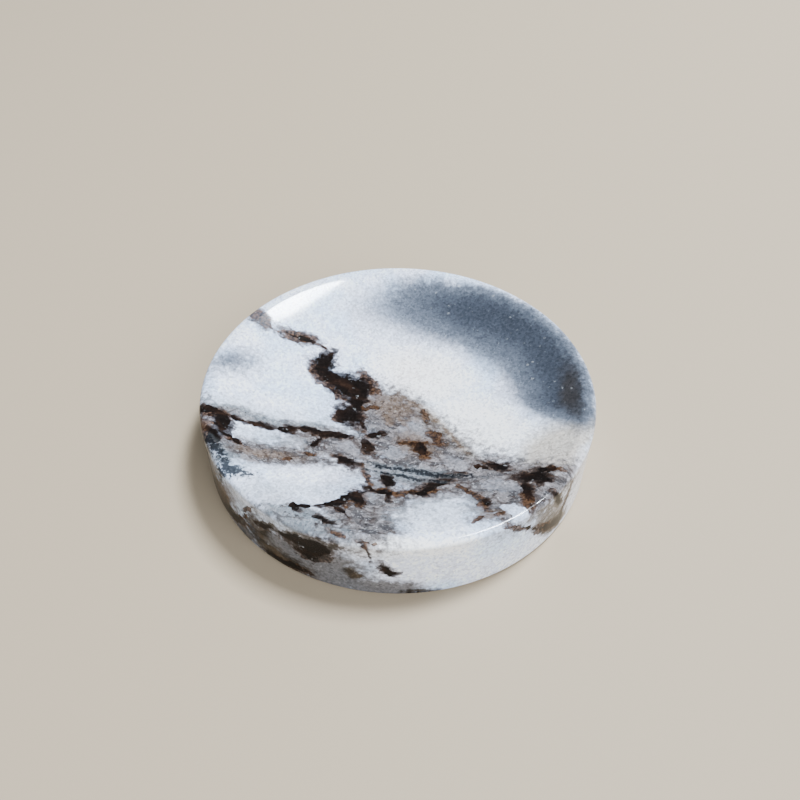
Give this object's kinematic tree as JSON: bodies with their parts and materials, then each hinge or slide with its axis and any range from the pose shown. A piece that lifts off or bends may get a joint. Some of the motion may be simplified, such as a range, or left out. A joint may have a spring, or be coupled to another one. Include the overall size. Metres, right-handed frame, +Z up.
{
  "type": "soap dish",
  "caption": "Low round stone soap dish with a shallow dished top, standing on clear anti-slip dots set in its base.",
  "frame": {"origin": "middle of the surface that the dish stands on, under the centre of the bowl", "axes": "+Z up along the axis of the dish; the dish is turned, so +X and +Y are equal directions, and only its veins tell them apart: the blue-grey cloud lies towards +X +Y"},
  "size_m": [0.1, 0.1, 0.0186],
  "materials": {
    "marble": "polished white marble with brown and blue-grey veins",
    "dot_rubber": "clear soft rubber, satin"
  },
  "bodies": {
    "root": {"stone_dish": "marble", "anti_slip_dot_1": "dot_rubber", "anti_slip_dot_2": "dot_rubber", "anti_slip_dot_3": "dot_rubber", "anti_slip_dot_4": "dot_rubber"}
  },
  "joints": []
}
